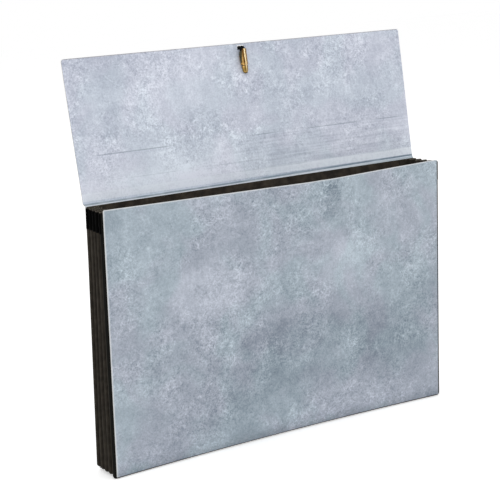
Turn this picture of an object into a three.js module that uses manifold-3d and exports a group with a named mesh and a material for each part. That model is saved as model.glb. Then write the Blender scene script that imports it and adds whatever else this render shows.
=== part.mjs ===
// Expanding wallet folder, legal size, in millimetres.
// X runs along the width, Y from front to back, Z up. While the pieces are made, the front panel's outer
// face is the plane Y = 0 at its two side edges, and the floor is Z = 0.
import * as THREE from 'three';
import * as BufferGeometryUtils from 'three/addons/utils/BufferGeometryUtils.js';
import Module from 'manifold-3d';

const wasm = await Module();
wasm.setup();

// Overall sizes
const PANEL_WIDTH = 374.65;
const PANEL_HEIGHT = 241.3;
const FLAP_HEIGHT = 126;
const FLAP_TILT_DEG = 10.2;
const BODY_DEPTH = 33.9;

// Sheet thicknesses, and the clearance that glued or resting pieces keep to each other
const BOARD_THICKNESS = 0.6;
const GUSSET_THICKNESS = 0.4;
const TAPE_THICKNESS = 0.25;
const LINING_THICKNESS = 0.3;
const CLEARANCE = 0.3;

// Front panel: how far its open top edge bows forward and its bottom edge is drawn back
const FRONT_CORNER_RADIUS = 1.5;
const FRONT_BOW = 15.2;
const FRONT_BOW_PEAK_X = 38.4;
const FRONT_BOW_ROUNDING = 0.15;
const FRONT_PULL_IN = 5.8;
const FRONT_BEND_HEIGHT = 14;
const FRONT_BEND_ROWS = 4;
const FRONT_UPPER_ROWS = 5;
const FRONT_COLUMNS = 24;

// Back panel and flap, which are one sheet. Insets are from the front panel's side edges, and a shoulder sets
// the flap's fold back from the panel.
const BACK_INSET = 2.1;
const FLAP_FOLD_INSET = 1.4;
const FLAP_FLARE = 1.95;
const SHOULDER_HEIGHT = 2.6;
const SHOULDER_SETBACK = 3;
const FLAP_CORNER_RADIUS = 2.8;
const SCORE_HEIGHTS = [8, 17, 40];
const SCORE_WIDTH = 1.4;
const SCORE_DEPTH = 0.18;
const CREASE_WIDTH = 2.2;
const CREASE_DEPTH = 0.25;
const LINING_DROP = 2.2;
const LINING_SIDE_MARGIN = 1;
const LINING_BOTTOM_MARGIN = 3;

// Gusset: five outward folds, with four valleys between them
const OUTWARD_FOLDS = 5;
const GLUE_FLAP = 20;
const PLEAT_DEPTH = 11;
const OUTWARD_FOLD_RADIUS = 1.25;
const VALLEY_FOLD_RADIUS = 1.1;
const GUSSET_TOP_DROP = 2.4;
const GUSSET_BOTTOM_DROP = 1;
const GUSSET_OUTSET = 2.05;
const GUSSET_TOP_TAPER = 3.5;
const GUSSET_CORNER_RADIUS = 3.2;
const GUSSET_LEAST_RADIUS = 0.25;
const GUSSET_SIDE_STEPS = 5;
const GUSSET_CORNER_STEPS = 3;
const GUSSET_BOTTOM_STEPS = 16;
const FOLD_ARC_STEPS = 5;
const VALLEY_ARC_STEPS = 4;

// Tape over the top of the pleats
const TAPE_HEIGHT = 17.5;
const TAPE_TOP_DROP = 1;

// Elastic cord, its slot in the flap and its brass clip
const CORD_DIAMETER = 2.8;
const STRAND_SPACING = 2.9;
const CORD_SIDES = 8;
const CORD_STEPS = 76;
const SLOT_WIDTH = 7.2;
const SLOT_HEIGHT = 4;
const SLOT_EDGE_MARGIN = 1.9;
const CLIP_LENGTH = 23.2;
const CLIP_MOUTH_WIDTH = 8.6;
const CLIP_FLATNESS = 0.605;
const CLIP_TIP_WIDTH = 4.8;
const CLIP_TIP_LENGTH = 3;
const CLIP_CRIMP_HEIGHT = 7.2;
const CLIP_CRIMP_WIDTH = 4.9;
const CLIP_GROOVE_DEPTH = 0.35;
const CLIP_GROOVE_WIDTH = 0.8;
const CLIP_CENTRE_X = -1.4;
const CLIP_BELOW_EDGE = 5;
const CLIP_LEAN_DEG = 2.8;
const CLIP_CAVITY_DEPTH = 8;
const CLIP_CAVITY_ARC_STEPS = 8;
const CLIP_SIDES = 20;
const CLIP_TIP_STEPS = 6;
const CLIP_FLANK_OPENING = 1;
const CLIP_BACK_OPENING = 6;
const CLIP_DIMPLE_RADIUS = 0.45;
const CLIP_DIMPLE_SPACING = 2;
const CLIP_DIMPLE_DEPTH = 0.4;
const CLIP_DIMPLE_SIDES = 8;

// Plates that trim the sheets' corners: how far they reach past a sheet's edge, and the steps of a corner
const TRIM_MARGIN = 5;
const TRIM_ARC_STEPS = 6;

// Points nearer than this are one point, and a mitred corner is never more than twice as far out as its sides
const WELD_DISTANCE = 1e-4;
const LEAST_MITRE_COSINE = 0.5;

// Places that follow from the sizes above
const FLAP_TILT = THREE.MathUtils.degToRad(FLAP_TILT_DEG);
const PANEL_HALF = PANEL_WIDTH / 2;
const BACK_HALF = PANEL_HALF - BACK_INSET;
const FLAP_FOLD_HALF = PANEL_HALF - FLAP_FOLD_INSET;
const FLAP_EDGE_HALF = FLAP_FOLD_HALF + FLAP_FLARE;
const PANEL_BOTTOM = GUSSET_BOTTOM_DROP;
const PANEL_TOP = PANEL_BOTTOM + PANEL_HEIGHT;
const BACK_OUTER_Y = BODY_DEPTH;
const BACK_INNER_Y = BACK_OUTER_Y - BOARD_THICKNESS;
const FOLD_Y = BACK_INNER_Y + SHOULDER_SETBACK;
const LINING_BACK_Y = BACK_INNER_Y - CLEARANCE;
const LINING_FRONT_Y = LINING_BACK_Y - LINING_THICKNESS;
const GUSSET_FRONT_Y = BOARD_THICKNESS + CLEARANCE + GUSSET_THICKNESS / 2;
const GUSSET_BACK_Y = LINING_FRONT_Y - CLEARANCE - GUSSET_THICKNESS / 2;
const GUSSET_TOP = PANEL_TOP - GUSSET_TOP_DROP;

// Materials
function paperMaterial(color, roughness) {
  return new THREE.MeshStandardMaterial({ color, roughness, metalness: 0 });
}
const frontBoard = paperMaterial(0xa6b0bc, 0.75);
const backBoard = paperMaterial(0xc4cad4, 0.75);
const gussetPaper = paperMaterial(0x3a352f, 0.85);
const blackTape = paperMaterial(0x0c0c0e, 0.55);
const liningPaper = paperMaterial(0x2a2521, 0.9);
const elasticWeave = paperMaterial(0x111313, 0.9);
const brass = new THREE.MeshStandardMaterial({ color: 0xb8862f, roughness: 0.3, metalness: 1 });

function namedMesh(name, geometry, material) {
  const mesh = new THREE.Mesh(geometry, material);
  mesh.name = name;
  return mesh;
}

// Solids for cutting and joining
function toSolid(geometry) {
  const bare = geometry.clone();
  bare.deleteAttribute('normal');
  bare.deleteAttribute('uv');
  const merged = BufferGeometryUtils.mergeVertices(bare, WELD_DISTANCE);
  return new wasm.Manifold(new wasm.Mesh({
    numProp: 3,
    vertProperties: new Float32Array(merged.attributes.position.array),
    triVerts: new Uint32Array(merged.index.array),
  }));
}

function toGeometry(solid) {
  const { vertProperties, triVerts } = solid.getMesh();
  const geometry = new THREE.BufferGeometry();
  geometry.setAttribute('position', new THREE.BufferAttribute(vertProperties, 3));
  geometry.setIndex(new THREE.BufferAttribute(triVerts, 1));
  geometry.computeVertexNormals();
  return geometry;
}

// Moves each point of a geometry to where place(point) puts it
function placePoints(geometry, place) {
  const position = geometry.attributes.position;
  const point = new THREE.Vector3();
  for (let i = 0; i < position.count; i += 1) {
    point.fromBufferAttribute(position, i);
    place(point);
    position.setXYZ(i, point.x, point.y, point.z);
  }
  geometry.computeVertexNormals();
  return geometry;
}

// The lesser of two numbers, rounded over where they are within rounding of each other
function softMin(a, b, rounding) {
  const overlap = Math.max(rounding - Math.abs(a - b), 0) / rounding;
  return Math.min(a, b) - overlap * overlap * rounding / 4;
}

// How far the front panel stands back (+) or bows forward (-) at a place on it. The top edge is a tent with
// a rounded peak that fades to nothing at the bottom, and a strip along the bottom edge is bent back in an arc.
function frontShift(x, z) {
  const across = THREE.MathUtils.clamp(x, -PANEL_HALF, PANEL_HALF);
  const height = z - PANEL_BOTTOM;
  const rising = (PANEL_HALF + across) / (PANEL_HALF + FRONT_BOW_PEAK_X);
  const falling = (PANEL_HALF - across) / (PANEL_HALF - FRONT_BOW_PEAK_X);
  const bow = FRONT_BOW * softMin(rising, falling, FRONT_BOW_ROUNDING) * height / PANEL_HEIGHT;
  const arc = FRONT_PULL_IN * (1 - (across / PANEL_HALF) ** 2);
  return arc * Math.max(1 - height / FRONT_BEND_HEIGHT, 0) - bow;
}

// The same shift inside the body, whole at the front glue flap and fading to nothing at the back one
function bodyShift(x, y, z) {
  const share = (GUSSET_BACK_Y - y) / (GUSSET_BACK_Y - GUSSET_FRONT_Y);
  return frontShift(x, z) * THREE.MathUtils.clamp(share, 0, 1);
}

// Closes a shape over its top, from its right side to its left one, with both corners rounded
function closeRoundTop(shape, half, top, radius) {
  shape.lineTo(half, top - radius);
  shape.absarc(half - radius, top - radius, radius, 0, Math.PI / 2);
  shape.lineTo(-half + radius, top);
  shape.absarc(-half + radius, top - radius, radius, Math.PI / 2, Math.PI);
  shape.closePath();
}

function frontOutline() {
  const outline = new THREE.Shape();
  outline.moveTo(-PANEL_HALF, PANEL_BOTTOM - TRIM_MARGIN);
  outline.lineTo(PANEL_HALF, PANEL_BOTTOM - TRIM_MARGIN);
  closeRoundTop(outline, PANEL_HALF, PANEL_TOP, FRONT_CORNER_RADIUS);
  return outline;
}

// Outline of the back panel and the flap, in the flap's own frame
function backOutline() {
  const bottom = -PANEL_HEIGHT - TRIM_MARGIN;
  const shoulder = -SHOULDER_SETBACK * Math.sin(FLAP_TILT) - SHOULDER_HEIGHT * Math.cos(FLAP_TILT);
  const outline = new THREE.Shape();
  outline.moveTo(-FLAP_FOLD_HALF, 0);
  outline.lineTo(-BACK_HALF, shoulder);
  outline.lineTo(-BACK_HALF, bottom);
  outline.lineTo(BACK_HALF, bottom);
  outline.lineTo(BACK_HALF, shoulder);
  outline.lineTo(FLAP_FOLD_HALF, 0);
  closeRoundTop(outline, FLAP_EDGE_HALF, FLAP_HEIGHT, FLAP_CORNER_RADIUS);
  return outline;
}

// A plate of a shape, as thick as the panel is high, to trim a sheet by: its middle lies in the sheet's plane
function trimmingPlate(shape) {
  const plate = new THREE.ExtrudeGeometry(
    shape, { depth: PANEL_HEIGHT, bevelEnabled: false, curveSegments: TRIM_ARC_STEPS });
  return plate.translate(0, 0, -PANEL_HEIGHT / 2);
}

function uprightPlate(shape) {
  return trimmingPlate(shape).rotateX(Math.PI / 2);
}

function flapPlate(shape) {
  return trimmingPlate(shape).applyMatrix4(flapFrame);
}

// Height of a row of the front panel's points: close together in the strip that is bent back, then wide apart
function frontRowHeight(row) {
  if (row <= FRONT_BEND_ROWS) {
    return FRONT_BEND_HEIGHT * row / FRONT_BEND_ROWS;
  }
  return THREE.MathUtils.lerp(FRONT_BEND_HEIGHT, PANEL_HEIGHT, (row - FRONT_BEND_ROWS) / FRONT_UPPER_ROWS);
}

// The sheet is made with its rows 1 apart, and each point is then moved to its place
function makeFrontPanel() {
  const rows = FRONT_BEND_ROWS + FRONT_UPPER_ROWS;
  const sheet = new THREE.BoxGeometry(PANEL_WIDTH, BOARD_THICKNESS, rows, FRONT_COLUMNS, 1, rows);
  sheet.translate(0, BOARD_THICKNESS / 2, rows / 2);
  placePoints(sheet, (p) => {
    p.z = PANEL_BOTTOM + frontRowHeight(Math.round(p.z));
    p.y += frontShift(p.x, p.z);
  });
  return toGeometry(toSolid(sheet).intersect(toSolid(uprightPlate(frontOutline()))));
}

// The flap's own frame: X across, Y up the flap from the fold, Z out of its inner face
function makeFlapFrame() {
  const across = new THREE.Vector3(1, 0, 0);
  const up = new THREE.Vector3(0, Math.sin(FLAP_TILT), Math.cos(FLAP_TILT));
  const outward = new THREE.Vector3().crossVectors(across, up);
  const frame = new THREE.Matrix4().makeBasis(across, up, outward);
  return frame.setPosition(0, FOLD_Y, PANEL_TOP);
}
const flapFrame = makeFlapFrame();

// A point of the flap's section, given by its height up the flap and its depth behind the inner face
function flapSectionPoint(height, depth) {
  const point = new THREE.Vector3(0, height, -depth).applyMatrix4(flapFrame);
  return new THREE.Vector2(point.y, point.z);
}

// Section of the folded sheet, in Y and Z: up the inner face, over the free edge and down the outer face
function backSheetSection() {
  const bottom = new THREE.Vector2(BACK_INNER_Y, PANEL_BOTTOM);
  const shoulder = new THREE.Vector2(BACK_INNER_Y, PANEL_TOP - SHOULDER_HEIGHT);
  const fold = new THREE.Vector2(FOLD_Y, PANEL_TOP);
  const freeEdge = flapSectionPoint(FLAP_HEIGHT, 0);
  const toShoulder = shoulder.clone().sub(fold).setLength(CREASE_WIDTH / 2);
  const inner = [bottom, shoulder, fold.clone().add(toShoulder), flapSectionPoint(0, CREASE_DEPTH)];
  inner.push(flapSectionPoint(CREASE_WIDTH / 2, 0));
  for (const height of SCORE_HEIGHTS) {
    inner.push(flapSectionPoint(height - SCORE_WIDTH / 2, 0));
    inner.push(flapSectionPoint(height, SCORE_DEPTH));
    inner.push(flapSectionPoint(height + SCORE_WIDTH / 2, 0));
  }
  inner.push(freeEdge);
  const outer = offsetLine([bottom, shoulder, fold, freeEdge], BOARD_THICKNESS);
  return new THREE.Shape([...inner, ...outer.reverse()]);
}

// Turns a section drawn in Y and Z and extruded along its own Z into one that runs along X
const sectionToWorld = new THREE.Matrix4().makeBasis(
  new THREE.Vector3(0, 1, 0), new THREE.Vector3(0, 0, 1), new THREE.Vector3(1, 0, 0));

function makeBackSheet() {
  const width = 2 * (FLAP_EDGE_HALF + TRIM_MARGIN);
  const sheet = new THREE.ExtrudeGeometry(backSheetSection(), { depth: width, bevelEnabled: false });
  sheet.translate(0, 0, -width / 2);
  sheet.applyMatrix4(sectionToWorld);
  const slot = new THREE.BoxGeometry(SLOT_WIDTH, SLOT_HEIGHT, TRIM_MARGIN);
  slot.translate(CLIP_CENTRE_X, FLAP_HEIGHT - SLOT_EDGE_MARGIN - SLOT_HEIGHT / 2, 0);
  slot.applyMatrix4(flapFrame);
  return toGeometry(toSolid(sheet).intersect(toSolid(flapPlate(backOutline()))).subtract(toSolid(slot)));
}

function makeLining() {
  const bottom = PANEL_BOTTOM + LINING_BOTTOM_MARGIN;
  const top = PANEL_TOP - LINING_DROP;
  const width = 2 * (BACK_HALF - LINING_SIDE_MARGIN);
  const lining = new THREE.BoxGeometry(width, LINING_THICKNESS, top - bottom);
  lining.translate(0, LINING_FRONT_Y + LINING_THICKNESS / 2, (top + bottom) / 2);
  return lining;
}

// Centre line of the pleats, drawn with x outward from the body and y from front to back. It comes out along
// the front glue flap, weaves round the outward folds and the valleys, and goes in along the back glue flap.
function pleatCentreLine() {
  const firstY = GUSSET_FRONT_Y + OUTWARD_FOLD_RADIUS;
  const lastY = GUSSET_BACK_Y - OUTWARD_FOLD_RADIUS;
  const pitch = (lastY - firstY) / (OUTWARD_FOLDS - 1);
  const foldX = -OUTWARD_FOLD_RADIUS;
  const valleyX = VALLEY_FOLD_RADIUS + GUSSET_THICKNESS - PLEAT_DEPTH;
  const reach = Math.hypot(valleyX - foldX, pitch / 2);
  const lean = Math.acos((OUTWARD_FOLD_RADIUS + VALLEY_FOLD_RADIUS) / reach);
  const legAngle = Math.atan2(valleyX - foldX, pitch / 2) + lean;

  const points = [];
  const addArc = (x, y, radius, from, to, steps) => {
    for (let i = 0; i <= steps; i += 1) {
      const angle = THREE.MathUtils.lerp(from, to, i / steps);
      points.push(new THREE.Vector2(x + radius * Math.sin(angle), y + radius * Math.cos(angle)));
    }
  };
  for (let fold = 0; fold < OUTWARD_FOLDS; fold += 1) {
    const y = firstY + fold * pitch;
    const start = points.length;
    addArc(foldX, y, OUTWARD_FOLD_RADIUS, Math.PI - legAngle, legAngle, FOLD_ARC_STEPS);
    if (fold === 0) {
      points[start].set(foldX, GUSSET_FRONT_Y);
    }
    if (fold < OUTWARD_FOLDS - 1) {
      const from = Math.PI + legAngle;
      const to = 2 * Math.PI - legAngle;
      addArc(valleyX, y + pitch / 2, VALLEY_FOLD_RADIUS, from, to, VALLEY_ARC_STEPS);
    }
  }
  points[points.length - 1].set(foldX, GUSSET_BACK_Y);
  return points;
}

// The line at a distance to the outer side of a centre line, with mitred corners
function offsetLine(points, distance) {
  return points.map((point, i) => {
    const before = points[Math.max(i - 1, 0)];
    const after = points[Math.min(i + 1, points.length - 1)];
    const incoming = point.clone().sub(before).normalize();
    const outgoing = after.clone().sub(point).normalize();
    const along = incoming.clone().add(outgoing).normalize();
    const side = new THREE.Vector2(along.y, -along.x);
    const straight = i === 0 ? outgoing : incoming;
    return point.clone().addScaledVector(side, distance / Math.max(along.dot(straight), LEAST_MITRE_COSINE));
  });
}

// Closed section of a sheet whose middle lies at an offset from a centre line
function sheetSection(points, offset, thickness) {
  const outer = offsetLine(points, offset + thickness / 2);
  const inner = offsetLine(points, offset - thickness / 2);
  return [...outer, ...inner.reverse()];
}

// How far the outward folds stand out of the front panel's side edges. Towards the back they draw in as they
// rise.
function foldOutset(y, z) {
  const back = (y - GUSSET_FRONT_Y) / (GUSSET_BACK_Y - GUSSET_FRONT_Y);
  return GUSSET_OUTSET - GUSSET_TOP_TAPER * back * z / GUSSET_TOP;
}

// Stations of the gusset's run: down the left side, round a corner, along the bottom, round and up the right.
// Each says where a point goes that lies inset from the outward folds at a depth y. Side is -1 at the left and
// 1 at the right.
function levelStation(side, z) {
  return (inset, y) => ({ x: side * (PANEL_HALF + foldOutset(y, z) - inset), z });
}

function sideStation(side, share) {
  return (inset, y) => {
    const z = THREE.MathUtils.lerp(inset + cornerRadius(inset), GUSSET_TOP, share);
    return levelStation(side, z)(inset, y);
  };
}

function cornerRadius(inset) {
  return Math.max(GUSSET_CORNER_RADIUS - inset, GUSSET_LEAST_RADIUS);
}

function cornerStation(side, angle) {
  return (inset) => {
    const radius = cornerRadius(inset);
    const centre = PANEL_HALF + GUSSET_OUTSET - inset - radius;
    return { x: side * (centre + radius * Math.cos(angle)), z: inset + radius * (1 - Math.sin(angle)) };
  };
}

function bottomStation(share) {
  return (inset) => {
    const reach = PANEL_HALF + GUSSET_OUTSET - inset - cornerRadius(inset);
    return { x: THREE.MathUtils.lerp(-reach, reach, share), z: inset };
  };
}

function gussetStations() {
  const stations = [];
  for (let i = GUSSET_SIDE_STEPS; i > 0; i -= 1) {
    stations.push(sideStation(-1, i / GUSSET_SIDE_STEPS));
  }
  for (let i = 0; i <= GUSSET_CORNER_STEPS; i += 1) {
    stations.push(cornerStation(-1, Math.PI / 2 * i / GUSSET_CORNER_STEPS));
  }
  for (let i = 1; i < GUSSET_BOTTOM_STEPS; i += 1) {
    stations.push(bottomStation(i / GUSSET_BOTTOM_STEPS));
  }
  for (let i = GUSSET_CORNER_STEPS; i >= 0; i -= 1) {
    stations.push(cornerStation(1, Math.PI / 2 * i / GUSSET_CORNER_STEPS));
  }
  for (let i = 1; i <= GUSSET_SIDE_STEPS; i += 1) {
    stations.push(sideStation(1, i / GUSSET_SIDE_STEPS));
  }
  return stations;
}

// Sweeps a section along stations: it is extruded straight, and each of its rings is then moved to its station.
// The outermost point of the folds is x = 0 in the section.
function sweepSection(section, stations) {
  const steps = stations.length - 1;
  const geometry = new THREE.ExtrudeGeometry(
    new THREE.Shape(section), { depth: steps, steps, bevelEnabled: false });
  return placePoints(geometry, (p) => {
    const y = p.y;
    const { x, z } = stations[Math.round(p.z)](-p.x, y);
    p.set(x, y + bodyShift(x, y, z), z);
  });
}

const centreLine = pleatCentreLine();
const pleatReach = Math.max(...offsetLine(centreLine, GUSSET_THICKNESS / 2).map((point) => point.x));
for (const point of centreLine) {
  point.x -= pleatReach;
}

function makeGusset() {
  const glueInset = -GLUE_FLAP;
  const bendPoints = [];
  for (let row = FRONT_BEND_ROWS; row > 0; row -= 1) {
    bendPoints.push(new THREE.Vector2(-PANEL_BOTTOM - frontRowHeight(row), GUSSET_FRONT_Y));
  }
  const withFlaps = [
    new THREE.Vector2(glueInset, GUSSET_FRONT_Y),
    ...bendPoints,
    ...centreLine,
    new THREE.Vector2(glueInset, GUSSET_BACK_Y),
  ];
  return sweepSection(sheetSection(withFlaps, 0, GUSSET_THICKNESS), gussetStations());
}

// The tape follows the outside of the pleats, from the first outward fold to the last
function makeTape(side) {
  const tips = Math.floor(FOLD_ARC_STEPS / 2);
  const covered = centreLine.slice(tips, centreLine.length - tips);
  const offset = GUSSET_THICKNESS / 2 + CLEARANCE + TAPE_THICKNESS / 2;
  const top = GUSSET_TOP - TAPE_TOP_DROP;
  const stations = [levelStation(side, top), levelStation(side, top - TAPE_HEIGHT)];
  if (side > 0) {
    stations.reverse();
  }
  return sweepSection(sheetSection(covered, offset, TAPE_THICKNESS), stations);
}

// Outline of half the clip, from its rounded tip at height 0, past the crimp's groove, to its mouth
function clipProfile() {
  const tipRadius = CLIP_TIP_WIDTH / 2;
  const profile = new THREE.Path();
  profile.moveTo(0, 0);
  profile.quadraticCurveTo(tipRadius, 0, tipRadius, CLIP_TIP_LENGTH);
  profile.lineTo(CLIP_CRIMP_WIDTH / 2 + CLIP_GROOVE_DEPTH, CLIP_CRIMP_HEIGHT - CLIP_GROOVE_WIDTH);
  profile.lineTo(CLIP_CRIMP_WIDTH / 2, CLIP_CRIMP_HEIGHT);
  profile.lineTo(CLIP_CRIMP_WIDTH / 2 + 2 * CLIP_GROOVE_DEPTH, CLIP_CRIMP_HEIGHT + CLIP_GROOVE_WIDTH);
  profile.lineTo(CLIP_MOUTH_WIDTH / 2, CLIP_LENGTH);
  profile.lineTo(0, CLIP_LENGTH);
  return profile.getPoints(CLIP_TIP_STEPS);
}

// Everything that is taken out of the clip: the space of the two strands, the open left flank that shows one
// of them, the open back where they turn to the slot, and the crimp's two dimples
function clipCuts() {
  const cavityRadius = CORD_DIAMETER / 2 + CLEARANCE;
  const half = STRAND_SPACING / 2;
  const stadium = new THREE.Shape();
  stadium.absarc(half, 0, cavityRadius, -Math.PI / 2, Math.PI / 2);
  stadium.absarc(-half, 0, cavityRadius, Math.PI / 2, 3 * Math.PI / 2);
  const past = CLIP_MOUTH_WIDTH;
  const cavity = new THREE.ExtrudeGeometry(
    stadium, { depth: CLIP_CAVITY_DEPTH + past, bevelEnabled: false, curveSegments: CLIP_CAVITY_ARC_STEPS });
  cavity.rotateX(-Math.PI / 2);
  cavity.translate(0, CLIP_LENGTH - CLIP_CAVITY_DEPTH, 0);

  const flank = new THREE.Shape();
  flank.moveTo(-past, CLIP_LENGTH + past);
  flank.lineTo(-past, CLIP_LENGTH - CLIP_CAVITY_DEPTH + CLEARANCE);
  flank.lineTo(-half - cavityRadius / 2, CLIP_LENGTH - CLIP_CAVITY_DEPTH + CLEARANCE);
  flank.lineTo(-CLIP_FLANK_OPENING, CLIP_LENGTH);
  flank.lineTo(-CLIP_FLANK_OPENING, CLIP_LENGTH + past);
  const opening = new THREE.ExtrudeGeometry(flank, { depth: past, bevelEnabled: false });

  const back = new THREE.BoxGeometry(2 * past, CLIP_BACK_OPENING + past, past);
  back.translate(0, CLIP_LENGTH + (past - CLIP_BACK_OPENING) / 2, -past / 2);

  const dimples = [-1, 1].map((side) => {
    const dimple = new THREE.CylinderGeometry(
      CLIP_DIMPLE_RADIUS, CLIP_DIMPLE_RADIUS, past, CLIP_DIMPLE_SIDES);
    dimple.rotateX(Math.PI / 2);
    const floor = CLIP_CRIMP_WIDTH / 2 * CLIP_FLATNESS - CLIP_DIMPLE_DEPTH;
    dimple.translate(side * CLIP_DIMPLE_SPACING / 2, CLIP_CRIMP_HEIGHT, floor + past / 2);
    return dimple;
  });
  return [cavity, opening, back, ...dimples];
}

function makeClip() {
  const body = new THREE.LatheGeometry(clipProfile(), CLIP_SIDES);
  body.scale(1, 1, CLIP_FLATNESS);
  const solid = clipCuts().reduce((left, cut) => left.subtract(toSolid(cut)), toSolid(body));
  const clip = toGeometry(solid);
  clip.translate(0, -CLIP_LENGTH, 0);
  clip.rotateZ(THREE.MathUtils.degToRad(CLIP_LEAN_DEG));
  const resting = CLIP_MOUTH_WIDTH / 2 * CLIP_FLATNESS + CLEARANCE;
  clip.translate(CLIP_CENTRE_X, FLAP_HEIGHT - CLIP_BELOW_EDGE, resting);
  clip.applyMatrix4(flapFrame);
  return clip;
}

// A smooth curve whose steps follow its chosen points instead of its length, so tight bends get more of them
class CordRoute extends THREE.CatmullRomCurve3 {
  getUtoTmapping(u) {
    return u;
  }
}

// Left half of the cord's route: out of the clip, back through the slot and down behind the flap. X is from
// the clip's centre, and the right half is the mirror image.
const CORD_LEFT_HALF = [
  [-1.45, 53.99, 356.98],
  [-1.45, 54.35, 358.95],
  [-1.45, 54.81, 360.69],
  [-1.45, 55.71, 362.05],
  [-1.45, 57.13, 362.61],
  [-1.45, 58.74, 362.48],
  [-1.45, 60.35, 361.83],
  [-1.46, 61.69, 360.7],
  [-1.5, 62.5, 358.9],
  [-1.6, 62.9, 356.3],
  [-2.5, 62.9, 341],
  [-4.2, 62.8, 319],
  [-6.5, 62.7, 291],
  [-9.3, 62.6, 260],
  [-11.9, 62.6, 230],
  [-13.7, 62.6, 201],
  [-14.2, 62.6, 181],
  [-12.5, 62.6, 168],
  [-7.9, 62.6, 159.6],
];
const CORD_LOOP_BOTTOM = [0, 62.6, 156.8];

function cordRoute() {
  const place = (side, [x, y, z]) => new THREE.Vector3(CLIP_CENTRE_X + side * x, y, z);
  const left = CORD_LEFT_HALF.map((point) => place(1, point));
  const right = CORD_LEFT_HALF.map((point) => place(-1, point));
  return new CordRoute([...left, place(1, CORD_LOOP_BOTTOM), ...right.reverse()]);
}

function makeCord() {
  const section = new THREE.Shape();
  section.absarc(0, 0, CORD_DIAMETER / 2, 0, 2 * Math.PI);
  return new THREE.ExtrudeGeometry(section, {
    steps: CORD_STEPS, curveSegments: CORD_SIDES / 2, extrudePath: cordRoute(),
  });
}

const folder = new THREE.Group();
folder.add(
  namedMesh('front_panel', makeFrontPanel(), frontBoard),
  namedMesh('back_panel_and_flap', makeBackSheet(), backBoard),
  namedMesh('back_lining', makeLining(), liningPaper),
  namedMesh('gusset', makeGusset(), gussetPaper),
  namedMesh('gusset_tape_left', makeTape(-1), blackTape),
  namedMesh('gusset_tape_right', makeTape(1), blackTape),
  namedMesh('cord_clip', makeClip(), brass),
);

// The origin is on the floor, under the middle of everything but the cord
const extent = new THREE.Box3().setFromObject(folder);
const middle = extent.getCenter(new THREE.Vector3());
folder.add(namedMesh('elastic_cord', makeCord(), elasticWeave));
folder.position.set(-middle.x, -middle.y, -extent.min.z);

export default folder;
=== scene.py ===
"""Expanding wallet folder, standing open with its flap up: the looks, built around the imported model.

All lengths are in metres. +X is the folder's right, seen from its front, +Y its back, and +Z is up.
"""
import math

import bmesh
import bpy
from mathutils import Matrix, Vector, noise


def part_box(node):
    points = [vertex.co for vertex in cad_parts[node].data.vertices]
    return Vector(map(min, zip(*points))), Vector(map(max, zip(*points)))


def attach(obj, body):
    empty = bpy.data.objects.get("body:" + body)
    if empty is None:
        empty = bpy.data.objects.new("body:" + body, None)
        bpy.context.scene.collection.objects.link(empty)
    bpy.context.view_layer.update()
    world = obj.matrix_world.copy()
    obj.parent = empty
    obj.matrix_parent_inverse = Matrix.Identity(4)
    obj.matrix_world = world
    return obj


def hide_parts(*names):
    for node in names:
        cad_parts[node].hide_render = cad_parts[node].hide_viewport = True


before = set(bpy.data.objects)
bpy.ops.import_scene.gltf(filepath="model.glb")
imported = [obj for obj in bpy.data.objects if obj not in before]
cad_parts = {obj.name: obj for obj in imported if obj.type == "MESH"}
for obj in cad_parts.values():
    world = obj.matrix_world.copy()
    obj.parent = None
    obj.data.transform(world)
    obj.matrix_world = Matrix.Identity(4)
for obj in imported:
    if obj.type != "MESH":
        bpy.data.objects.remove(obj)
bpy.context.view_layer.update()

MM = 0.001
BODY = "root"

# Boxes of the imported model's pieces
FRONT_LOW, FRONT_HIGH = (Vector(corner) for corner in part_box("front_panel"))
BACK_LOW = Vector(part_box("back_panel_and_flap")[0])
GUSSET_HIGH = Vector(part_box("gusset")[1])
TAPE_LOW, TAPE_HIGH = (Vector(corner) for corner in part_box("gusset_tape_left"))

# Sizes of the sheets. They, the bow and bend, the back sheet and the folds below are the model's.
BOARD_THICKNESS = 0.6 * MM
GUSSET_THICKNESS = 0.4 * MM
TAPE_THICKNESS = 0.25 * MM
LINING_THICKNESS = 0.3 * MM
CLEARANCE = 0.3 * MM
BODY_DEPTH = 33.9 * MM
FLAP_HEIGHT = 126 * MM
FLAP_TILT = math.radians(10.2)

PANEL_WIDTH = FRONT_HIGH.x - FRONT_LOW.x
HALF_WIDTH = PANEL_WIDTH / 2
PANEL_BOTTOM = FRONT_LOW.z
PANEL_TOP = FRONT_HIGH.z
PANEL_HEIGHT = PANEL_TOP - PANEL_BOTTOM
BACK_INNER_Y = BACK_LOW.y
BACK_OUTER_Y = BACK_INNER_Y + BOARD_THICKNESS
FRONT_OUTER_Y = BACK_OUTER_Y - BODY_DEPTH
FLAP_TOP = PANEL_TOP + FLAP_HEIGHT * math.cos(FLAP_TILT)

# The board is cut a little smaller than the model's, so that the gusset's dark fold shows beside it
FRONT_LEFT = FRONT_LOW.x + 0.8 * MM
FRONT_RIGHT = FRONT_HIGH.x - 0.7 * MM
FRONT_BOTTOM = PANEL_BOTTOM + 1.0 * MM
FRONT_TOP = PANEL_TOP - 0.5 * MM

# The front board's bow and bend
FRONT_CORNER_RADIUS = 1.5 * MM
FRONT_BOW = 15.2 * MM
FRONT_BOW_PEAK_X = 38.4 * MM
FRONT_BOW_ROUNDING = 0.15
FRONT_PULL_IN = 5.8 * MM
FRONT_BEND_HEIGHT = 14 * MM

# The back sheet's widths, shoulder and fold
BACK_INSET = 2.1 * MM
FLAP_FOLD_INSET = 1.4 * MM
FLAP_FLARE = 1.95 * MM
SHOULDER_HEIGHT = 2.6 * MM
SHOULDER_SETBACK = 3 * MM

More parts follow.
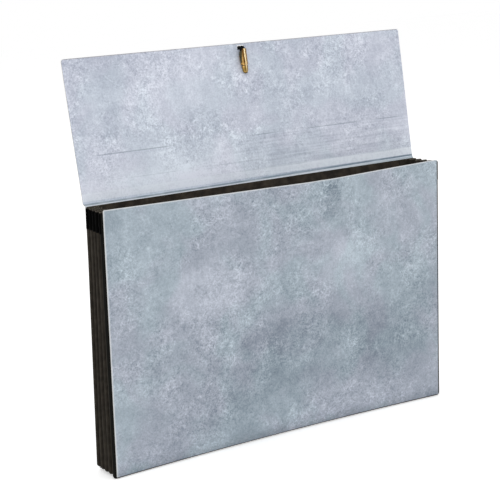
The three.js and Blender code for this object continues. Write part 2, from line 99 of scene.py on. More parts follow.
# The gusset's folds
OUTWARD_FOLDS = 5
GLUE_FLAP = 20 * MM
PLEAT_DEPTH = 11 * MM
OUTWARD_FOLD_RADIUS = 1.25 * MM
VALLEY_FOLD_RADIUS = 1.1 * MM
GUSSET_OUTSET = 2.05 * MM
GUSSET_TOP_TAPER = 3.5 * MM
GUSSET_CORNER_RADIUS = 3.2 * MM
GUSSET_LEAST_RADIUS = 0.25 * MM
GUSSET_FRONT_Y = FRONT_OUTER_Y + BOARD_THICKNESS + CLEARANCE + GUSSET_THICKNESS / 2
GUSSET_BACK_Y = BACK_INNER_Y - 2 * CLEARANCE - LINING_THICKNESS - GUSSET_THICKNESS / 2
GUSSET_DEPTH = GUSSET_BACK_Y - GUSSET_FRONT_Y

# The camera, fitted to the photograph from the front left. At azimuth 0 it would look along +Y.
FOCAL_PIXELS = 1560.85
PHOTO_PIXELS = 500
SENSOR_WIDTH_MM = 36
NEAREST_SEEN = 10 * MM
CAMERA_AZIMUTH = math.radians(-34.02)
CAMERA_ELEVATION = math.radians(12.417)
CAMERA_ROLL = math.radians(-1.908)
CAMERA_PLACE = Vector((-0.8122, -1.14791 + FRONT_OUTER_Y, 0.48987))


def make_camera():
    a, e = CAMERA_AZIMUTH, CAMERA_ELEVATION
    back = Vector((math.sin(a) * math.cos(e), -math.cos(a) * math.cos(e), math.sin(e)))
    right = Vector((math.cos(a), math.sin(a), 0))
    up = back.cross(right)
    rolled_right = right * math.cos(CAMERA_ROLL) + up * math.sin(CAMERA_ROLL)
    rolled_up = up * math.cos(CAMERA_ROLL) - right * math.sin(CAMERA_ROLL)
    data = bpy.data.cameras.new("camera")
    data.sensor_width = SENSOR_WIDTH_MM
    data.lens = FOCAL_PIXELS / PHOTO_PIXELS * data.sensor_width
    data.clip_start = NEAREST_SEEN
    camera = bpy.data.objects.new("camera", data)
    rotation = Matrix((rolled_right, rolled_up, back)).transposed()
    camera.matrix_world = Matrix.Translation(CAMERA_PLACE) @ rotation.to_4x4()
    bpy.context.collection.objects.link(camera)
    bpy.context.scene.camera = camera


make_camera()


# Mesh helpers

def new_object(name, verts, faces):
    mesh = bpy.data.meshes.new(name)
    mesh.from_pydata([tuple(v) for v in verts], [], faces)
    mesh.validate()
    mesh.update()
    mesh.polygons.foreach_set("use_smooth", [True] * len(mesh.polygons))
    obj = bpy.data.objects.new(name, mesh)
    bpy.context.collection.objects.link(obj)
    return obj


def thicken(obj, thickness):
    """Gives an open surface its thickness, on the side away from its normals."""
    solidify = obj.modifiers.new("thickness", "SOLIDIFY")
    solidify.thickness = thickness
    solidify.offset = -1
    solidify.use_even_offset = True
    solidify.use_quality_normals = True
    depsgraph = bpy.context.evaluated_depsgraph_get()
    finished = bpy.data.meshes.new_from_object(obj.evaluated_get(depsgraph))
    obj.modifiers.clear()
    open_surface = obj.data
    obj.data = finished
    bpy.data.meshes.remove(open_surface)


def sharpen(obj, angle_deg):
    """Smooth shading that breaks at edges sharper than an angle."""
    bm = bmesh.new()
    bm.from_mesh(obj.data)
    bmesh.ops.recalc_face_normals(bm, faces=bm.faces)
    limit = math.radians(angle_deg)
    for edge in bm.edges:
        edge.smooth = len(edge.link_faces) == 2 and edge.calc_face_angle(0) < limit
    bm.to_mesh(obj.data)
    bm.free()


def grid_faces(columns, rows, skip=lambda column, row: False, closed=False):
    """Faces of a grid whose points are listed row by row. A closed grid's rows are rings."""
    wrap = columns if closed else columns - 1
    faces = []
    for row in range(rows - 1):
        for column in range(wrap):
            if skip(column, row):
                continue
            following = (column + 1) % columns
            low = row * columns
            high = low + columns
            faces.append((low + column, low + following, high + following, high + column))
    return faces


def spread(low, high, steps):
    return [low + (high - low) * i / steps for i in range(steps + 1)]


LEAST_STEP = 0.05 * MM


def merged(*lists):
    """One rising list of positions, without those that nearly coincide."""
    positions = sorted(value for values in lists for value in values)
    kept = [positions[0]]
    for value in positions[1:]:
        if value - kept[-1] > LEAST_STEP:
            kept.append(value)
    return kept


def clamp(value, low=0.0, high=1.0):
    return max(low, min(high, value))


def smooth_step(value):
    t = clamp(value)
    return t * t * (3 - 2 * t)


def dress(obj, material, slot_name, *nodes):
    """Gives a piece its material and its body, and hides the CAD nodes that it stands for. Its slot name
    is not used.
    """
    obj.data.materials.clear()
    obj.data.materials.append(material)
    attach(obj, BODY)
    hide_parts(*nodes)


# Materials

def srgb(red, green, blue):
    """Linear colour of an 8-bit screen colour."""
    def linear(channel):
        c = channel / 255
        return c / 12.92 if c <= 0.04045 else ((c + 0.055) / 1.055) ** 2.4
    return (linear(red), linear(green), linear(blue), 1.0)


class Shader:
    """A material with short calls for the nodes that the recipes use."""

    def __init__(self, name):
        self.material = bpy.data.materials.new(name)
        self.material.use_nodes = True
        self.tree = self.material.node_tree
        self.bsdf = self.tree.nodes["Principled BSDF"]
        self.place = self.node("ShaderNodeTexCoord").outputs["Object"]
        self.x, self.y, self.z = self.axes(self.place)

    def node(self, kind, **settings):
        made = self.tree.nodes.new(kind)
        for key, value in settings.items():
            setattr(made, key, value)
        return made

    def link(self, source, target):
        self.tree.links.new(source, target)

    def feed(self, socket, value):
        """Sets a socket to a plain value, or links another socket to it."""
        if isinstance(value, (int, float, tuple)):
            socket.default_value = value
        else:
            self.link(value, socket)

    def fill(self, node, **values):
        """Feeds a node's inputs by their names, with _ for a space."""
        for name, value in values.items():
            self.feed(node.inputs[name.replace("_", " ")], value)

    def stretched(self, scale):
        """The place in the object, multiplied along each axis."""
        mapping = self.node("ShaderNodeMapping")
        self.fill(mapping, Scale=scale, Vector=self.place)
        return mapping.outputs["Vector"]

    def noise(self, scale, detail=2.0, roughness=0.5, distortion=0.0, vector=None):
        made = self.node("ShaderNodeTexNoise", noise_type="FBM")
        self.fill(
            made, Scale=scale, Detail=detail, Roughness=roughness, Distortion=distortion,
            Vector=vector or self.place)
        return made.outputs["Fac"]

    def swing(self, scale, **settings):
        """Noise that goes to both sides of 0."""
        return self.minus(self.noise(scale, **settings), 0.5)

    def ramp(self, value, low, high):
        """0 below low, 1 above high, and smooth between them."""
        made = self.node("ShaderNodeMapRange", interpolation_type="SMOOTHSTEP")
        self.fill(made, Value=value, From_Min=low, From_Max=high)
        return made.outputs["Result"]

    def maths(self, operation, *values):
        made = self.node("ShaderNodeMath", operation=operation)
        for socket, value in zip(made.inputs, values):
            self.feed(socket, value)
        return made.outputs["Value"]

    def times(self, first, second):
        return self.maths("MULTIPLY", first, second)

    def plus(self, first, second):
        return self.maths("ADD", first, second)

    def minus(self, first, second):
        return self.maths("SUBTRACT", first, second)

    def fade(self, value, low, high):
        """1 below low, 0 above high, and smooth between them."""
        return self.minus(1.0, self.ramp(value, low, high))

    def share_of(self, value, share, rest):
        """A value from 0 to 1, brought to lie between rest and rest + share."""
        return self.plus(self.times(value, share), rest)

    def mix(self, factor, first, second, blend="MIX"):
        made = self.node("ShaderNodeMix", data_type="RGBA", blend_type=blend)
        for index, value in ((0, factor), (6, first), (7, second)):
            self.feed(made.inputs[index], value)
        return made.outputs[2]

    def lay(self, color, mask, strength, tone):
        """A colour with a tone laid over it where a mask is 1."""
        return self.mix(self.times(mask, strength), color, tone)

    def axes(self, vector):
        made = self.node("ShaderNodeSeparateXYZ")
        self.link(vector, made.inputs["Vector"])
        return made.outputs

    def facing(self):
        """The X, Y and Z of the face's normal."""
        return self.axes(self.node("ShaderNodeNewGeometry").outputs["True Normal"])

    def band(self, value, middle, half_width, softness):
        """1 within half_width of a middle, fading to 0 over a softness."""
        away = self.maths("ABSOLUTE", self.minus(value, middle))
        return self.fade(away, half_width, half_width + softness)

    def bump(self, height, distance, strength):
        made = self.node("ShaderNodeBump")
        self.fill(made, Height=height, Distance=distance, Strength=strength)
        self.link(made.outputs["Normal"], self.bsdf.inputs["Normal"])

    def finish(self, color, roughness, metallic=0.0, specular=0.5):
        self.fill(
            self.bsdf, Base_Color=color, Roughness=roughness, Metallic=metallic,
            Specular_IOR_Level=specular)
        return self.material


def threads(shader, scale, width, distortion):
    """Thin wandering lines: 1 on a line, fading to 0 over a width."""
    away = shader.maths("ABSOLUTE", shader.swing(scale, detail=3, distortion=distortion))
    return shader.fade(away, 0.0, width)


def weighted_sum(shader, terms):
    """The sum of values times their weights."""
    total = None
    for value, weight in terms:
        scaled = shader.times(value, weight)
        total = scaled if total is None else shader.plus(total, scaled)
    return total


GREENER = (0.975, 1.012, 1.0, 1.0)
REDDER = (1.025, 0.988, 1.004, 1.0)


def pressboard(shader, dark, pale, tone_level, hue_drift, extra):
    """The colour and the relief of pressboard: broad clouds, mottling, fine grain and a net of thin pale
    fibres make one tone from dark to pale, with extra terms and a slight drift of hue."""
    lively = shader.ramp(shader.noise(24), 0.35, 0.65)
    strength = shader.share_of(lively, 0.7, 0.6)
    grain = shader.swing(620, roughness=0.75)
    speckle = shader.swing(300, detail=3, roughness=0.6, distortion=0.6)
    mottle = shader.swing(135, detail=4, roughness=0.6, distortion=0.4)
    patches = shader.swing(46, detail=3, roughness=0.55)
    clouds = shader.swing(13)
    fine = weighted_sum(shader, ((grain, 1.0), (speckle, 0.6), (mottle, 0.52)))
    nets = weighted_sum(shader, (
        (threads(shader, 48, 0.02, 1.5), 0.55), (threads(shader, 95, 0.03, 1.0), 0.6),
        (threads(shader, 190, 0.045, 0.6), 0.4)))
    present = shader.ramp(shader.noise(62), 0.42, 0.6)
    fibres = shader.times(nets, shader.times(present, strength))
    tone = weighted_sum(shader, (
        (shader.times(fine, strength), 1.0), (patches, 0.46), (clouds, 0.55), (fibres, 0.36),
        *extra))
    color = shader.mix(shader.plus(tone, tone_level), dark, pale)
    drift = shader.ramp(shader.noise(19, distortion=0.5), 0.4, 0.6)
    tint = shader.mix(drift, GREENER, REDDER)
    return shader.mix(hue_drift, color, tint, "MULTIPLY"), shader.plus(mottle, grain)


# A face belongs to the cut edge when less than this share of its normal lies along Y
RIM_FACING = 0.6
EDGE_UNEVENNESS = 0.8 * MM


def rim_share(shader):
    """1 on the cut edges of a board that stands across Y, and 0 on its two faces."""
    return shader.maths("LESS_THAN", shader.maths("ABSOLUTE", shader.facing()[1]), RIM_FACING)


def edge_band(shader, distance, width, softness):
    """1 within a width of an edge, fading over a softness, a little uneven along it."""
    uneven = shader.times(shader.swing(90, detail=3), EDGE_UNEVENNESS)
    return shader.fade(shader.plus(distance, uneven), width, width + softness)


# Broad soft spots of painted light and shade, darker or paler: (middle, reach, strength), the first two
# as (x, z) in mm
FRONT_PAINTED_LIGHT_AND_SHADE_SPOTS = (
    ((100, 232), (110, 45), 0.08), ((47, 222), (17, 27), -0.3), ((-86, 157), (50, 34), 0.24),
    ((72, 158), (55, 32), 0.2), ((95, 126), (60, 28), 0.08), ((15, 80), (200, 52), -0.11),
    ((125, 58), (75, 42), -0.1), ((-86, 14), (45, 20), 0.1), ((150, 170), (50, 40), 0.05))
FLAP_PAINTED_LIGHT_AND_SHADE_SPOTS = (
    ((-70, 262), (90, 30), 0.1), ((15, 264), (45, 24), -0.12), ((-60, 330), (120, 40), 0.07))
BOARD_RELIEF = 0.06 * MM


def painted_light_and_shade_spots(shader, spots):
    """Each spot with its strength, painted light where paler and painted shade where darker: an ellipse
    on the board, 1 in its middle and 0 at its rim.
    """
    terms = []
    for middle, reach, strength in spots:
        shares = []
        for axis, centre, half in zip((shader.x, shader.z), middle, reach):
            away = shader.maths("DIVIDE", shader.minus(axis, centre * MM), half * MM)
            shares.append(shader.times(away, away))
        terms.append((shader.fade(shader.plus(*shares), 0.0, 1.0), strength))
    return terms


def front_board_material():
    shader = Shader("front_pressboard_painted_shade")
    # The front is the same pressboard as the flap, given darker colours: painted shade, as it faces the
    # light less than the leaning flap
    color, relief = pressboard(
        shader, srgb(116, 129, 142), srgb(208, 217, 228), tone_level=0.445, hue_drift=1.0,
        extra=painted_light_and_shade_spots(shader, FRONT_PAINTED_LIGHT_AND_SHADE_SPOTS))
    # The left and upper edges are pale, partly from wear and partly a painted highlight where they catch
    # the light, and the right one is darker with painted shade
    left = edge_band(shader, shader.minus(shader.x, FRONT_LEFT), 0.5 * MM, 1.1 * MM)
    top = edge_band(shader, shader.minus(FRONT_TOP, shader.z), 0.4 * MM, 0.8 * MM)
    right = edge_band(shader, shader.minus(FRONT_RIGHT, shader.x), 0.1 * MM, 1.0 * MM)
    highlit_and_worn_edges = shader.maths("MAXIMUM", left, top)
    color = shader.lay(color, highlit_and_worn_edges, 0.72, srgb(232, 234, 235))
    color = shader.lay(color, right, 0.5, srgb(120, 126, 132))
    # Along the floor the board bends under, and the bend's shade is painted there as a darker tone
    low = shader.fade(shader.z, 2 * MM, 11 * MM)
    color = shader.lay(color, low, 0.3, srgb(104, 116, 126))
    color = shader.mix(rim_share(shader), color, srgb(224, 224, 220))
    shader.bump(relief, BOARD_RELIEF, 0.6)
    return shader.finish(color, 0.72, specular=0.35)


def flap_tones(shader, height):
    """What the flap's tone has beside the pressboard's own: streaks along the fold, painted light that
    makes its lower part paler, most of all to the left, and the spots of painted light and shade.
    """
    streaks = shader.swing(1, roughness=0.6, vector=shader.stretched((16, 1, 560)))
    low = shader.fade(height, 34 * MM, 56 * MM)
    rightward = shader.share_of(shader.ramp(shader.x, -90 * MM, 60 * MM), 0.75, 0.25)
    streaked = shader.times(streaks, shader.times(low, rightward))
    # Painted light: the lower flap is made paler, and more so to the left
    painted_low_light = shader.fade(height, 6 * MM, 60 * MM)
    leftward = shader.fade(shader.x, -90 * MM, 0)
    painted_lower_left_light = shader.times(shader.fade(height, 6 * MM, 30 * MM), leftward)
    return [(streaked, 0.8), (painted_low_light, 0.13), (painted_lower_left_light, 0.3), *painted_light_and_shade_spots(shader, FLAP_PAINTED_LIGHT_AND_SHADE_SPOTS)]


def painted_fold_light_band(shader, color, height):
    """Just above its crease the fold is bluish, and from there it is painted paler: painted light where
    the board curves up to the fold, clearest to the right.
    """
    bluish = shader.band(height, 0.5 * MM, 0.4 * MM, 1.0 * MM)
    color = shader.lay(color, bluish, 0.25, srgb(148, 178, 196))
    above = shader.ramp(height, 0.9 * MM, 2.0 * MM)
    inside = shader.times(shader.fade(height, 7.6 * MM, 9.2 * MM), above)
    share = shader.share_of(shader.ramp(shader.x, -30 * MM, 110 * MM), 0.45, 0.55)
    mottle = shader.ramp(shader.noise(330, detail=3), 0.35, 0.65)
    uneven = shader.times(share, shader.share_of(mottle, 0.3, 0.65))
    return shader.mix(shader.times(inside, uneven), color, srgb(240, 247, 255))


def painted_crease_shade_and_slope_light(shader, color, height):
    """The crease is a broken dark line of painted shade, a little askew, for the shade in its groove.
    Below it the slope catches the light as painted light, paler to the left and duller to the right, and
    the whole back panel takes on the slope's painted tone."""
    below = shader.maths("LESS_THAN", height, -0.8 * MM)
    dulled = shader.ramp(shader.x, 60 * MM, 180 * MM)
    painted_slope_light = shader.mix(dulled, srgb(206, 213, 218), srgb(166, 180, 186))
    color = shader.lay(color, below, 0.7, painted_slope_light)
    rising = shader.times(shader.ramp(shader.x, -60 * MM, 190 * MM), 1.25 * MM)
    askew = shader.minus(rising, 0.9 * MM)
    line = shader.band(shader.minus(height, askew), 0, 0.4 * MM, 0.6 * MM)
    broken = shader.ramp(shader.noise(60, detail=3), 0.3, 0.6)
    return shader.lay(color, line, shader.share_of(broken, 0.25, 0.5), srgb(84, 108, 124))


def score_painted_shade(shader, color, height):
    """The scores are lines of soft dashes of painted shade, for the shade in their shallow grooves."""
    for middle, strength, dashes in SCORE_LINES:
        scored = shader.band(height, middle * math.cos(FLAP_TILT), 0.15 * MM, 0.5 * MM)
        for centre, half in dashes:
            dash = shader.band(shader.x, centre * MM, half * MM, 14 * MM)
            shown = shader.times(scored, shader.times(dash, strength))
            color = shader.mix(shown, color, srgb(104, 120, 138))
    return color


def back_board_material():
    shader = Shader("flap_pressboard_painted_light")
    height = shader.minus(shader.z, PANEL_TOP)
    # The flap is the same pressboard as the front, given paler colours: painted light, as it leans back
    # and faces the light more
    color, relief = pressboard(
        shader, srgb(152, 160, 178), srgb(238, 244, 255), tone_level=0.475, hue_drift=0.5,
        extra=flap_tones(shader, height))
    for mark in (painted_fold_light_band, painted_crease_shade_and_slope_light, score_painted_shade):
        color = mark(shader, color, height)
    # The flap's cut edge shows as a thin tan line
    edge = edge_band(shader, shader.minus(FLAP_TOP, shader.z), 0.3 * MM, 0.7 * MM)
    color = shader.lay(color, edge, 0.5, srgb(150, 142, 130))
    color = shader.mix(rim_share(shader), color, srgb(190, 184, 172))
    shader.bump(relief, BOARD_RELIEF, 0.6)
    return shader.finish(color, 0.7, specular=0.35)


def gusset_material():
    shader = Shader("gusset_paper")
    streaks = shader.noise(260, detail=4, roughness=0.6, vector=shader.stretched((1, 1, 0.06)))
    mottle = shader.noise(160, detail=4, roughness=0.6)
    color = shader.mix(shader.ramp(mottle, 0.35, 0.7), srgb(42, 38, 33), srgb(60, 55, 48))
    color = shader.lay(color, shader.ramp(streaks, 0.5, 0.72), 0.5, srgb(74, 69, 62))
    # Beside the front board the first fold is painted near black: painted shadow in the gap between them
    front = shader.fade(shader.y, FRONT_OUTER_Y + 1.5 * MM, FRONT_OUTER_Y + 2.4 * MM)
    from_middle = shader.maths("ABSOLUTE", shader.x)
    aside = shader.maths("GREATER_THAN", from_middle, HALF_WIDTH - 3 * MM)
    color = shader.lay(color, shader.times(front, aside), 0.92, srgb(6, 7, 6))
    # The upward faces of the cut upper edge are paler: partly the paper's pale core, partly painted
    # light from above
    upward = shader.maths("GREATER_THAN", shader.facing()[2], 0.9)
    high = shader.maths("GREATER_THAN", shader.z, GUSSET_HIGH.z - 1 * MM)
    color = shader.lay(color, upward, high, srgb(150, 142, 128))
    shader.bump(streaks, 0.1 * MM, 0.5)
    return shader.finish(color, 0.85, specular=0.15)


def tape_material():
    shader = Shader("black_binding_tape")
    grain = shader.noise(900)
    smudge = shader.noise(60, detail=3)
    color = shader.mix(shader.ramp(smudge, 0.4, 0.7), srgb(1, 1, 1), srgb(4, 4, 4))
    shader.bump(grain, 0.05 * MM, 0.4)
    return shader.finish(color, shader.share_of(smudge, 0.2, 0.6), specular=0.03)


def lining_material():
    shader = Shader("lining_paper")
    mottle = shader.noise(90, detail=5, roughness=0.6)
    fibres = shader.noise(300, detail=3, roughness=0.6, vector=shader.stretched((0.3, 1, 1)))
    color = shader.mix(shader.ramp(mottle, 0.35, 0.7), srgb(42, 37, 32), srgb(70, 62, 52))
    color = shader.lay(color, shader.ramp(fibres, 0.5, 0.75), 0.35, srgb(86, 76, 66))
    shader.bump(fibres, 0.08 * MM, 0.5)
    return shader.finish(color, 0.85, specular=0.25)


def around_share(angle):
    """The clip's U coordinate at an angle from its right side over its front."""
    return angle / (2 * math.pi) + 0.25


def brass_material():
    """Brass with dark tarnish, and with painted highlights, dark painted reflections and painted shade
    laid out by the clip's own coordinates. U runs round it from its right side over its front, and V
    from its tip to its mouth."""
    shader = Shader("pressed_brass")
    laid = shader.axes(shader.node("ShaderNodeTexCoord").outputs["UV"])
    tarnish = shader.noise(900, detail=3, roughness=0.6)
    scratches = shader.noise(1500, detail=3, vector=shader.stretched((1, 1, 0.15)))
    color = shader.mix(shader.ramp(tarnish, 0.38, 0.64), srgb(222, 176, 104), srgb(122, 84, 42))
    uneven = shader.times(shader.swing(260), 0.07)
    around = shader.plus(laid[0], uneven)
    # Painted highlights and dark painted reflections in streaks down the brass
    for middle, half, soft, strength, tone in BRASS_PAINTED_REFLECTIONS:
        painted_reflection = shader.band(around, middle, half, soft)
        color = shader.lay(color, painted_reflection, strength, srgb(*tone))
    # The left flank is painted dark green-grey, from the mouth down to the crimp in a tapering band:
    # painted shade and dark reflection
    painted_flank_shade_start = shader.minus(0.735, shader.times(laid[1], 0.19))
    painted_flank_shade = shader.ramp(shader.minus(laid[0], painted_flank_shade_start), 0.0, 0.03)
    painted_flank_shade = shader.times(painted_flank_shade, shader.ramp(laid[1], 0.36, 0.5))
    color = shader.lay(color, painted_flank_shade, 0.95, srgb(66, 68, 56))
    # The tip is painted a duller gold, with a darker rim of painted shade
    tip = shader.fade(laid[1], 0.16, 0.34)
    color = shader.lay(color, tip, 0.6, srgb(140, 118, 58))
    rim = shader.fade(laid[1], 0.02, 0.07)
    color = shader.lay(color, rim, 0.7, srgb(60, 46, 22))
    # The two marks of the crimping tool are painted dark: painted shade in their dimples
    for angle in CLIP_DIMPLE_ANGLES:
        across = shader.times(shader.minus(laid[0], around_share(angle)), CLIP_CRIMP_GIRTH)
        along = shader.times(shader.minus(laid[1], CLIP_CRIMP_HEIGHT / CLIP_LENGTH), CLIP_LENGTH)
        away = shader.plus(shader.times(across, across), shader.times(along, along))
        dot = shader.fade(shader.maths("SQRT", away), 0.5 * MM, 1.0 * MM)
        color = shader.lay(color, dot, 0.9, srgb(34, 24, 10))
    rough = shader.share_of(shader.ramp(scratches, 0.3, 0.8), 0.18, 0.2)
    shader.bump(scratches, 0.03 * MM, 0.5)
    return shader.finish(color, rough, metallic=1.0)


def elastic_material():
    shader = Shader("black_elastic_braid")
    weave = shader.noise(1800)
    color = shader.mix(shader.ramp(weave, 0.4, 0.65), srgb(8, 9, 10), srgb(24, 26, 26))
    shader.bump(weave, 0.12 * MM, 0.7)
    return shader.finish(color, 0.9, specular=0.12)


# Front board

GLUE_EASING = 25 * MM
# Waves of a sheet: (how many in a metre, height, place in the noise)
SLOW_WAVES = (11, 0.9 * MM, 3.1)
QUICK_WAVES = (34, 0.16 * MM, 8.4)
FLAP_WAVES = (9, 0.5 * MM, 21.7)
# Where the flap's waves begin above its fold, and over what lengths they rise and end
FLAP_WAVES_FROM = 20 * MM
FLAP_WAVES_EASING = 30 * MM
FLAP_WAVES_ENDING = 20 * MM
DENT_X = 36 * MM
DENT_BELOW_TOP = 9 * MM
DENT_SLANT = 0.45
DENT_REACH = (7 * MM, 15 * MM)
DENT_DEPTH = 1.3 * MM


def soft_min(first, second, rounding):
    """The smaller of two values, rounded off where they are nearly equal."""
    overlap = max(rounding - abs(first - second), 0) / rounding
    return min(first, second) - overlap * overlap * rounding / 4


def front_shift(x, z):
    """How far the front board stands back (+) or bows forward (-)."""
    half = HALF_WIDTH
    x = clamp(x, -half, half)
    height = z - PANEL_BOTTOM
    rising = (x + half) / (FRONT_BOW_PEAK_X + half)
    falling = (half - x) / (half - FRONT_BOW_PEAK_X)
    bow = FRONT_BOW * soft_min(rising, falling, FRONT_BOW_ROUNDING) * height / PANEL_HEIGHT
    arc = FRONT_PULL_IN * (1 - (x / half) ** 2)
    return arc * max(1 - height / FRONT_BEND_HEIGHT, 0) - bow


def free_share(x, z):
    """0 where the gusset is glued to the board, rising to 1 a little inside it."""
    from_side = HALF_WIDTH - GLUE_FLAP - abs(x)
    from_bottom = z - PANEL_BOTTOM - GLUE_FLAP
    return smooth_step(min(from_side, from_bottom) / GLUE_EASING)


def waves(across, up, kind):
    """Slow unevenness of a sheet at a place on it."""
    frequency, height, layer = kind
    return noise.noise(Vector((across * frequency, up * frequency, layer))) * height


def board_waves(x, z):
    """Slow unevenness of the free board, and the soft dent under its top edge."""
    across = (x - DENT_X) - DENT_SLANT * (z - PANEL_TOP)
    down = PANEL_TOP - DENT_BELOW_TOP - z
    dent = math.exp(-(across / DENT_REACH[0]) ** 2 - (down / DENT_REACH[1]) ** 2) * DENT_DEPTH
    return (waves(x, z, SLOW_WAVES) + waves(x, z, QUICK_WAVES)) * free_share(x, z) + dent


def row_half_width(z, top, half, radius):
    """Half width of a sheet at a height, where its two top corners are round."""
    above = z - (top - radius)
    if above <= 0:
        return half
    return half - radius + math.sqrt(max(radius * radius - above * above, 0))


def fitted_x(x, half, row_half, reach):
    """A column's place in a row that is narrower: only the last stretch before the edge is drawn in."""
    inner = half - reach
    if abs(x) <= inner:
        return x
    share = (abs(x) - inner) / reach
    return math.copysign(inner + (row_half - inner) * share, x)


def make_front_board():
    middle = (FRONT_LEFT + FRONT_RIGHT) / 2
    half = (FRONT_RIGHT - FRONT_LEFT) / 2
    radius = FRONT_CORNER_RADIUS
    columns = merged(
        spread(-half, half, 130),
        spread(-half, -half + 2 * radius, 8), spread(half - 2 * radius, half, 8))
    arc = [FRONT_TOP - radius + radius * math.sin(math.pi / 2 * i / 7) for i in range(8)]
    bend = spread(FRONT_BOTTOM, PANEL_BOTTOM + FRONT_BEND_HEIGHT, 6)
    rows = merged(bend, spread(PANEL_BOTTOM + FRONT_BEND_HEIGHT, FRONT_TOP - radius, 76), arc)
    verts = []
    for z in rows:
        row_half = row_half_width(z, FRONT_TOP, half, radius)
        for column in columns:
            x = middle + fitted_x(column, half, row_half, 2 * radius)
            verts.append((x, FRONT_OUTER_Y + front_shift(x, z) + board_waves(x, z), z))
    board = new_object("front_board", verts, grid_faces(len(columns), len(rows)))
    thicken(board, BOARD_THICKNESS)
    sharpen(board, 40)
    dress(board, front_board_material(), "front_board", "front_panel")


# Back board and flap, which are one sheet with a shoulder and a fold

FLAP_UP = Vector((0, math.sin(FLAP_TILT), math.cos(FLAP_TILT)))
FLAP_OUT = Vector((0, -math.cos(FLAP_TILT), math.sin(FLAP_TILT)))
FOLD = Vector((0, BACK_INNER_Y + SHOULDER_SETBACK, PANEL_TOP))

SHOULDER_ROUNDING = 1 * MM
SHOULDER_ROUND_SHARE = 0.4
SHOULDER_KNEE = 0.3
FLAP_CORNER_RADIUS = 2.8 * MM
SCORE_DEPTH = 0.05 * MM
# Height of each score line, how dark its painted shade is and its dashes, as their middles and half
# lengths in mm
SCORE_LINES = (
    (8 * MM, 0.14, ((150, 10), (20, 30))), (17 * MM, 0.18, ((-110, 18), (-20, 20), (95, 50))),
    (40 * MM, 0.5, ((-128, 30), (12, 3), (92, 24), (160, 8))))
SCORE_HALF_WIDTH = 0.7 * MM
CREASE_HALF_WIDTH = 1.1 * MM
CREASE_DEPTH = 0.1 * MM
SLOT_WIDTH = 7.2 * MM
SLOT_HEIGHT = 4 * MM
SLOT_EDGE_MARGIN = 1.9 * MM
CLIP_CENTRE_X = -1.4 * MM


def flap_point(x, height, out):
    """A place on the flap: across, up from the fold and out of the inner face."""
    return FOLD + Vector((x, 0, 0)) + FLAP_UP * height + FLAP_OUT * out


def score_depth(height):
    """How deep the crease and the score lines are at a height above the fold."""
    depth = CREASE_DEPTH * max(1 - abs(height) / CREASE_HALF_WIDTH, 0)
    for middle, *_ in SCORE_LINES:
        depth = max(depth, SCORE_DEPTH * smooth_step(1 - abs(height - middle) / SCORE_HALF_WIDTH))
    return depth


def flap_waves(x, height):
    """Slow unevenness of the flap, none near its fold and none at its free edge."""
    above_fold = smooth_step((height - FLAP_WAVES_FROM) / FLAP_WAVES_EASING)
    below_edge = smooth_step((FLAP_HEIGHT - height) / FLAP_WAVES_ENDING)
    return waves(x, height, FLAP_WAVES) * above_fold * below_edge


def back_rows(slot_bottom, slot_top):
    """The sheet's rows from its bottom to its free edge: ("panel", z), ("shoulder", share of the way
    over it) or ("flap", height above the fold)."""
    fine = []
    for middle, *_ in SCORE_LINES:
        fine += spread(middle - SCORE_HALF_WIDTH, middle + SCORE_HALF_WIDTH, 8)
    radius = FLAP_CORNER_RADIUS
    arc = [FLAP_HEIGHT - radius + radius * math.sin(math.pi / 2 * i / 6) for i in range(7)]
    third = (slot_top - slot_bottom) / 3
    flap = merged(
        spread(0.12 * MM, CREASE_HALF_WIDTH, 5), spread(2 * MM, slot_bottom, 44), fine,
        [slot_bottom, slot_bottom + third, slot_top - third, slot_top], arc)
    panel_top = PANEL_TOP - SHOULDER_HEIGHT - SHOULDER_ROUNDING
    rows = [("panel", z) for z in spread(PANEL_BOTTOM, panel_top, 20)]
    rows += [("shoulder", share) for share in spread(0, 1, 12)]
    return rows + [("flap", height) for height in flap]


def straight_share(share):
    """How far a share of the shoulder is along its straight part."""
    return clamp((share - SHOULDER_ROUND_SHARE) / (1 - SHOULDER_ROUND_SHARE))


def shoulder_point(share):
    """A rounded way from the panel, over the shoulder's ridge, to the fold: (y, z) at a share of it."""
    start = Vector((BACK_INNER_Y, PANEL_TOP - SHOULDER_HEIGHT - SHOULDER_ROUNDING))
    ridge = Vector((BACK_INNER_Y, PANEL_TOP - SHOULDER_HEIGHT))
    fold = Vector((FOLD.y, FOLD.z))
    knee = ridge.lerp(fold, SHOULDER_KNEE)
    if share < SHOULDER_ROUND_SHARE:
        t = share / SHOULDER_ROUND_SHARE
        return start * (1 - t) ** 2 + ridge * 2 * t * (1 - t) + knee * t * t
    return knee.lerp(fold, straight_share(share))


def back_half_width(kind, height):
    if kind == "panel":
        return HALF_WIDTH - BACK_INSET
    if kind == "shoulder":
        return HALF_WIDTH - BACK_INSET + (BACK_INSET - FLAP_FOLD_INSET) * straight_share(height)
    return HALF_WIDTH - FLAP_FOLD_INSET + FLAP_FLARE * height / FLAP_HEIGHT


